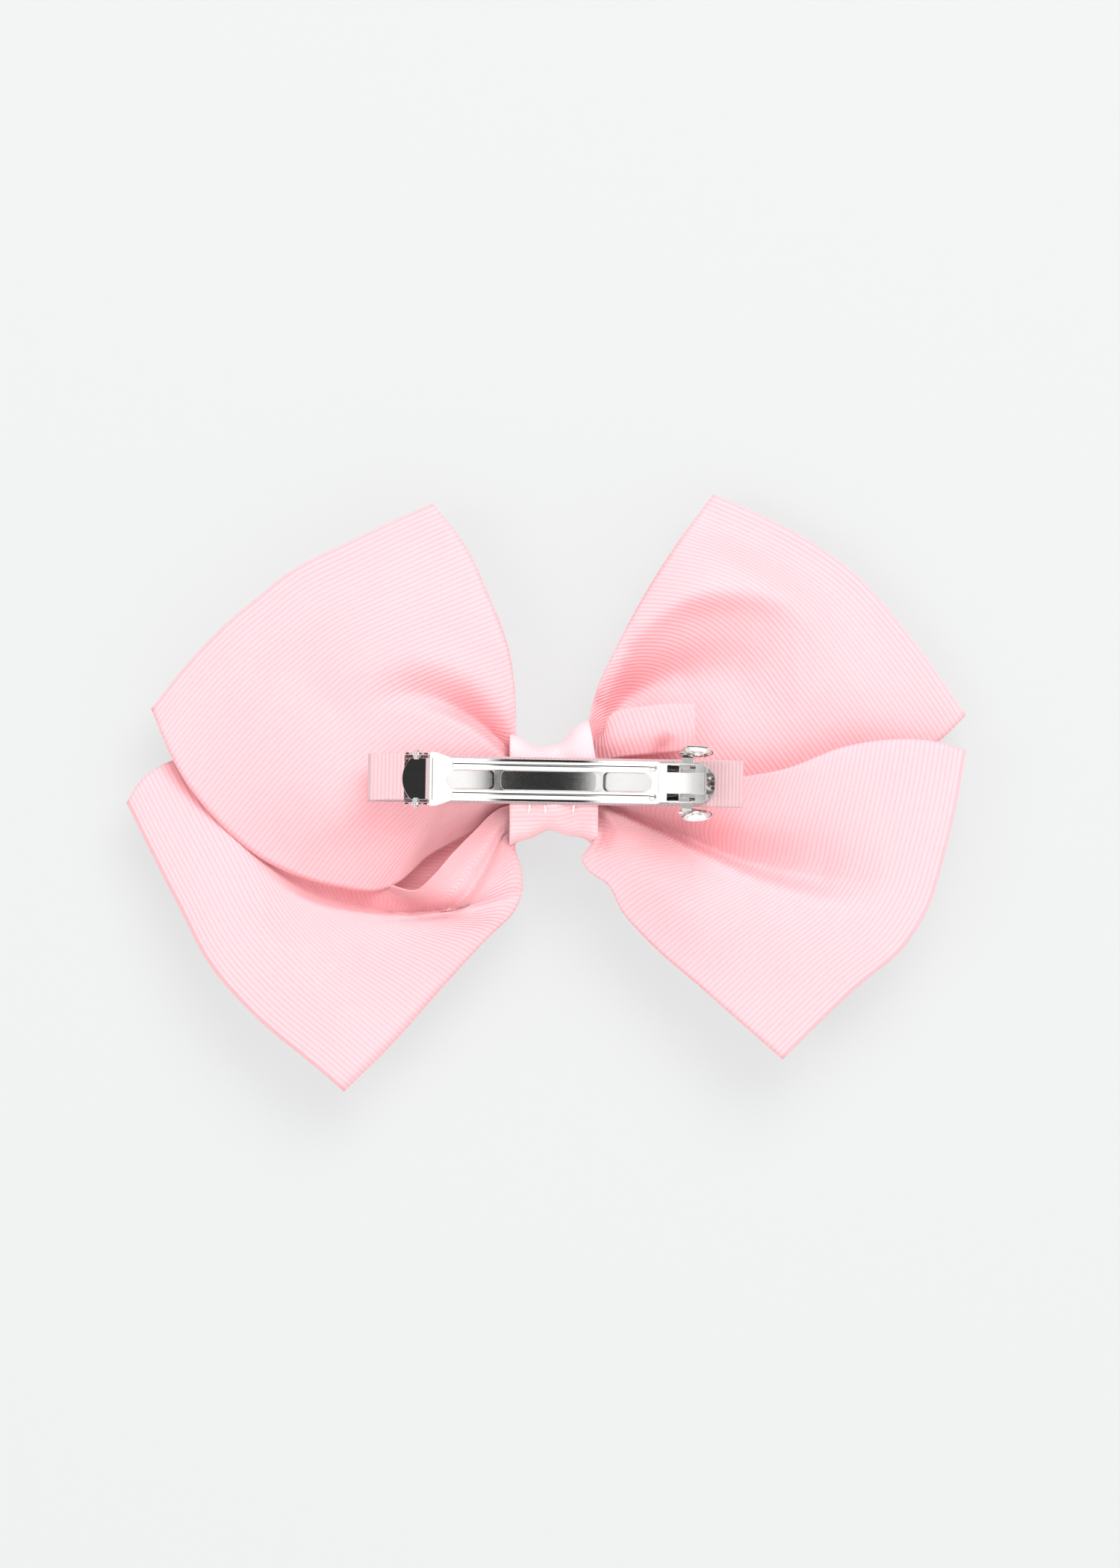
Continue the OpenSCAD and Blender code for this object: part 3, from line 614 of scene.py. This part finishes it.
def grosgrain(name, base, deep, pitch, glow=0.0, warp=0.24):
    """Ribbed ribbon: fine yarns across modelled cords. base and deep are sRGB; deep serves both the
    painted shade in the grooves and the darker uneven yarns.
    """
    n = Nodes(name)
    uv = n.add("UVMap", uv_map="cloth")
    sep = n.add("SeparateXYZ")
    n.link(uv.outputs[0], sep.inputs[0])
    a = n.math("MULTIPLY", sep.outputs[0], 100.0)
    b = n.math("MULTIPLY", sep.outputs[1], 100.0)
    groove = n.math("ABSOLUTE", n.math("COSINE", n.math("MULTIPLY", a, math.pi / pitch)))
    groove = n.math("POWER", groove, 5.0)
    yarn = n.math("ABSOLUTE", n.math("SINE", n.math("MULTIPLY", b, math.pi / warp)))
    lean = n.math("MULTIPLY", a, 2.2 * math.pi / pitch)
    lean = n.math("ADD", n.math("MULTIPLY", b, math.pi / warp), lean)
    tilt = n.math("ABSOLUTE", n.math("SINE", lean))
    noise = n.add("TexNoise", i_Scale=46.0, i_Detail=4.0, i_Roughness=0.6)
    stretch = n.add("Mapping")
    stretch.inputs["Scale"].default_value = (1.0, 14.0, 1.0)
    n.link(uv.outputs[0], stretch.inputs[0])
    n.link(stretch.outputs[0], noise.inputs["Vector"])
    soft = n.add("TexNoise", i_Scale=3.2, i_Detail=2.0)
    n.link(uv.outputs[0], soft.inputs["Vector"])
    # colour: painted shade in the grooves between the cords, slightly uneven yarns
    f = n.math("MULTIPLY", groove, 0.55)
    f = n.math("ADD", f, n.math("MULTIPLY", n.math("SUBTRACT", noise.outputs[0], 0.5), 0.5))
    f = n.math("ADD", f, n.math("MULTIPLY", n.math("SUBTRACT", soft.outputs[0], 0.5), 0.35),
               clamp=True)
    col = n.ramp(f, [(0.0, lin(base)), (1.0, lin(deep))])
    bs = n.add("BsdfPrincipled", i_Roughness=0.62)
    bs.inputs["Specular IOR Level"].default_value = 0.28
    bs.inputs["Sheen Weight"].default_value = 0.25
    bs.inputs["Sheen Roughness"].default_value = 0.45
    bs.inputs["Sheen Tint"].default_value = lin((255, 236, 236))
    n.link(col, bs.inputs["Base Color"])
    h = n.math("ADD", n.math("MULTIPLY", yarn, 0.5), n.math("MULTIPLY", tilt, 0.35))
    h = n.math("ADD", h, n.math("MULTIPLY", noise.outputs[0], 0.35))
    bump = n.add("Bump", i_Strength=0.45, i_Distance=0.00006)
    n.link(h, bump.inputs["Height"])
    n.link(bump.outputs[0], bs.inputs["Normal"])
    if glow:
        tr = n.add("BsdfTranslucent")
        n.link(col, tr.inputs[0])
        mix = n.add("MixShader", i_Fac=glow)
        n.link(bs.outputs[0], mix.inputs[1])
        n.link(tr.outputs[0], mix.inputs[2])
        n.link(mix.outputs[0], n.out.inputs[0])
    else:
        n.link(bs.outputs[0], n.out.inputs[0])
    return n.mat


def steel(name, base, rough, wear=0.05, round_edge=0.00012):
    n = Nodes(name)
    geo = n.add("NewGeometry")
    tex = n.add("TexNoise", i_Scale=900.0, i_Detail=5.0, i_Roughness=0.65)
    n.link(geo.outputs["Position"], tex.inputs["Vector"])
    big = n.add("TexNoise", i_Scale=120.0, i_Detail=3.0)
    n.link(geo.outputs["Position"], big.inputs["Vector"])
    long = n.add("Mapping")
    long.inputs["Scale"].default_value = (60.0, 2500.0, 2500.0)
    n.link(geo.outputs["Position"], long.inputs[0])
    brush = n.add("TexNoise", i_Scale=1.0, i_Detail=3.0)
    n.link(long.outputs[0], brush.inputs["Vector"])
    bs = n.add("BsdfPrincipled", i_Metallic=1.0)
    r = n.math("ADD", n.math("MULTIPLY", tex.outputs[0], wear),
               n.math("MULTIPLY", brush.outputs[0], wear * 0.8))
    n.link(n.math("ADD", r, rough - wear * 0.9), bs.inputs["Roughness"])
    lo = tuple(c * 0.9 for c in lin(base)[:3]) + (1.0,)
    n.link(n.ramp(big.outputs[0], [(0.3, lo), (0.7, lin(base))]), bs.inputs["Base Color"])
    bevel = n.add("Bevel", samples=6, i_Radius=round_edge)
    bump = n.add("Bump", i_Strength=0.05, i_Distance=0.00003)
    n.link(n.math("ADD", tex.outputs[0], n.math("MULTIPLY", big.outputs[0], 0.8)),
           bump.inputs["Height"])
    n.link(bevel.outputs[0], bump.inputs["Normal"])
    n.link(bump.outputs[0], bs.inputs["Normal"])
    n.link(bs.outputs[0], n.out.inputs[0])
    return n.mat


def cotton(name, base, shade):
    n = Nodes(name)
    geo = n.add("NewGeometry")
    tex = n.add("TexNoise", i_Scale=2600.0, i_Detail=4.0)
    n.link(geo.outputs["Position"], tex.inputs["Vector"])
    bs = n.add("BsdfPrincipled", i_Roughness=0.8)
    bs.inputs["Sheen Weight"].default_value = 0.3
    n.link(n.ramp(tex.outputs[0], [(0.3, lin(shade)), (0.65, lin(base))]), bs.inputs["Base Color"])
    bump = n.add("Bump", i_Strength=0.5, i_Distance=0.00004)
    n.link(tex.outputs[0], bump.inputs["Height"])
    n.link(bump.outputs[0], bs.inputs["Normal"])
    n.link(bs.outputs[0], n.out.inputs[0])
    return n.mat


pink = grosgrain("grosgrain_pink", (253, 200, 205), (249, 168, 176), RIB_BOW, glow=0.28)
# the knot band's pink is a lighter copy of the bow's pink: painted light that offsets the shade the
# clip casts on the knot
pink_band_lightened = grosgrain("grosgrain_band_lightened", (253, 206, 210), (249, 174, 181), RIB_BAND, glow=0.1)
pale = grosgrain("lining_pink", (204, 172, 176), (184, 146, 150), RIB_LINING, glow=0.1)
white = cotton("thread_white", (252, 250, 248), (228, 222, 220))
chrome = steel("plated_steel", (240, 239, 237), 0.06, wear=0.03)
spring = steel("spring_steel", (222, 221, 220), 0.10, wear=0.05)
for key in parts:
    finish(parts[key][0], pink)
finish(band, pink_band_lightened)
finish(tail_end, pink)
finish(lining_strip, pale)
finish(thread, white)
for ob in stitches:
    finish(ob, white)

PLATED = ("base_plate", "catch_bridge", "catch_rivet", "wing_upper", "wing_lower", "lever")
for ob in bpy.data.objects:
    if ob.name in PLATED:
        finish(ob, chrome)
    if ob.name == "tension_leaf":
        finish(ob, spring)
    if ob.name.startswith("centre_"):
        finish(ob, pink)

# ------------------------------------------------------------------ riding and replacing

for key in parts:
    ob = parts[key][0]
    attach(ob, "bow")
    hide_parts(f"loop_{key}_back", f"loop_{key}_front")
for ob, node, slot in (
    (band, "knot_band", "grosgrain_pink"),
    (tail_end, "ribbon_tail", "grosgrain_pink"),
    (lining_strip, "lining_ribbon", "lining_pink"),
    (thread, "gathering_thread", "thread_white"),
    (stitches[0], "stitch_left", "thread_white"),
    (stitches[1], "stitch_middle", "thread_white"),
    (stitches[2], "stitch_right", "thread_white"),
):
    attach(ob, "bow")
    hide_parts(node)
for key in parts:
    ob, length = parts[key]

# ------------------------------------------------------------------ camera, light and stage

cam_data = bpy.data.cameras.new("camera")
cam = bpy.data.objects.new("camera", cam_data)
bpy.context.scene.collection.objects.link(cam)
cam_data.sensor_width = 36.0
cam_data.sensor_fit = "AUTO"
cam_data.lens = 110.6
cam_data.clip_start = 0.05
cam_data.clip_end = 20
centre = place(AXIS_X, 0.0, AXIS_Z) * MM
cam.location = (float(centre[0]), -EYE * MM, float(centre[2]))
cam.rotation_euler = (math.radians(90), -TURN, 0)
bpy.context.scene.camera = cam


def area_light(name, at, size, power):
    """A softbox turned toward the object."""
    d = bpy.data.lights.new(name, "AREA")
    d.shape = "RECTANGLE"
    d.size, d.size_y = size
    d.energy = power
    ob = bpy.data.objects.new(name, d)
    bpy.context.scene.collection.objects.link(ob)
    ob.location = at
    ob.rotation_euler = (-Vector(at)).to_track_quat("-Z", "Y").to_euler()
    ob.visible_glossy = False


area_light("softbox_top", (0.4, -1.25, 0.95), (1.2, 1.0), 35.0)
area_light("softbox_side", (-1.0, -1.3, -0.5), (1.0, 1.2), 22.0)
area_light("softbox_back", (0.4, 1.2, 0.9), (1.2, 1.0), 44.0)

world = bpy.data.worlds.new("world")
bpy.context.scene.world = world
world.use_nodes = True
wt = world.node_tree
wt.nodes.clear()


def wnode(kind, **kw):
    n = wt.nodes.new("ShaderNode" + kind)
    for k, v in kw.items():
        setattr(n, k, v)
    return n


def wramp(source, stops):
    n = wnode("ValToRGB")
    e = n.color_ramp.elements
    while len(e) < len(stops):
        e.new(0.5)
    for el, (p, g) in zip(e, stops):
        el.position, el.color = (p + 1) / 2, (g, g, g, 1)
    half = wnode("MapRange")
    half.inputs["From Min"].default_value = -1.0
    half.inputs["From Max"].default_value = 1.0
    wt.links.new(source, half.inputs["Value"])
    wt.links.new(half.outputs[0], n.inputs[0])
    return n.outputs[0]


def wmix(kind, fac, a, b):
    n = wnode("Mix", data_type="RGBA", blend_type=kind)
    for socket, value in ((n.inputs["Factor"], fac), (n.inputs["A"], a), (n.inputs["B"], b)):
        if isinstance(value, (int, float)):
            socket.default_value = value if socket.type == "VALUE" else (value, value, value, 1)
        else:
            wt.links.new(value, socket)
    return n.outputs["Result"]


# even light for the cloth; for the steel, a bright tent with dark gaps between its panels
plain = wnode("Background")
plain.inputs[0].default_value = (1.0, 0.945, 0.96, 1)
plain.inputs[1].default_value = 0.56
tent = wnode("Background")
coord = wnode("TexCoord")
split = wnode("SeparateXYZ")
wt.links.new(coord.outputs["Generated"], split.inputs[0])
rise, across = split.outputs[2], split.outputs[0]
tiers = wramp(rise, ((-1.0, 0.35), (-0.92, 0.7), (-0.66, 0.7), (-0.58, 0.03), (-0.30, 0.02),
                     (-0.24, 0.95), (0.24, 1.0), (0.30, 0.015), (0.56, 0.03), (0.64, 1.3),
                     (0.93, 1.3), (1.0, 0.5)))
panels = wramp(across, ((-0.86, 0.62), (-0.55, 0.5), (-0.34, 0.1), (-0.28, 0.9), (-0.10, 0.95),
                        (-0.065, 0.02), (0.13, 0.03), (0.16, 1.0), (0.285, 1.0), (0.30, 0.06),
                        (0.345, 0.3), (0.37, 1.0), (0.62, 0.9), (0.7, 0.05)))
level = wramp(rise, ((-0.24, 0.0), (-0.13, 1.0), (0.13, 1.0), (0.24, 0.0)))
front = wmix("MIX", level, 1.0, panels)
wt.links.new(wmix("MULTIPLY", 1.0, tiers, front), tent.inputs[0])
tent.inputs[1].default_value = 1.45
path = wnode("LightPath")
pick = wnode("MixShader")
wt.links.new(path.outputs["Is Glossy Ray"], pick.inputs[0])
wt.links.new(plain.outputs[0], pick.inputs[1])
wt.links.new(tent.outputs[0], pick.inputs[2])
# what shows past the stage is a plain pale grey
seen = wnode("Background")
seen.inputs[0].default_value = lin((241, 243, 242))
seen.inputs[1].default_value = 0.9
show = wnode("MixShader")
wt.links.new(path.outputs["Is Camera Ray"], show.inputs[0])
wt.links.new(pick.outputs[0], show.inputs[1])
wt.links.new(seen.outputs[0], show.inputs[2])
wout = wnode("OutputWorld")
wt.links.new(show.outputs[0], wout.inputs[0])


def plane(name, corners, mat):
    me = bpy.data.meshes.new(name)
    me.from_pydata(corners, [], [(0, 1, 2, 3)])
    me.update()
    ob = bpy.data.objects.new(name, me)
    bpy.context.scene.collection.objects.link(ob)
    ob.data.materials.append(mat)


def backdrop_material():
    n = Nodes("studio_backdrop")
    em = n.add("Emission", i_Strength=0.675)
    em.inputs[0].default_value = lin((252, 254, 254))
    df = n.add("BsdfDiffuse")
    df.inputs[0].default_value = (0.12, 0.12, 0.12, 1)
    addn = n.add("AddShader")
    n.link(em.outputs[0], addn.inputs[0])
    n.link(df.outputs[0], addn.inputs[1])
    clear = n.add("BsdfTransparent")
    geo = n.add("NewGeometry")
    mix = n.add("MixShader")
    n.link(geo.outputs["Backfacing"], mix.inputs[0])
    n.link(addn.outputs[0], mix.inputs[1])
    n.link(clear.outputs[0], mix.inputs[2])
    n.link(mix.outputs[0], n.out.inputs[0])
    return n.mat


def floor_material():
    n = Nodes("studio_floor")
    df = n.add("BsdfDiffuse")
    df.inputs[0].default_value = (0.86, 0.865, 0.865, 1)
    n.link(df.outputs[0], n.out.inputs[0])
    return n.mat


WALL_Y, WALL, FLOOR_Z, FLOOR = 0.0272, 0.6, -0.35, 2
square = ((-1, -1), (1, -1), (1, 1), (-1, 1))
plane("stage_wall", [(a * WALL, WALL_Y, b * WALL) for a, b in square], backdrop_material())
plane("stage_floor", [(a * FLOOR, b * FLOOR, FLOOR_Z) for a, b in square], floor_material())

bpy.context.scene.view_settings.view_transform = "Standard"
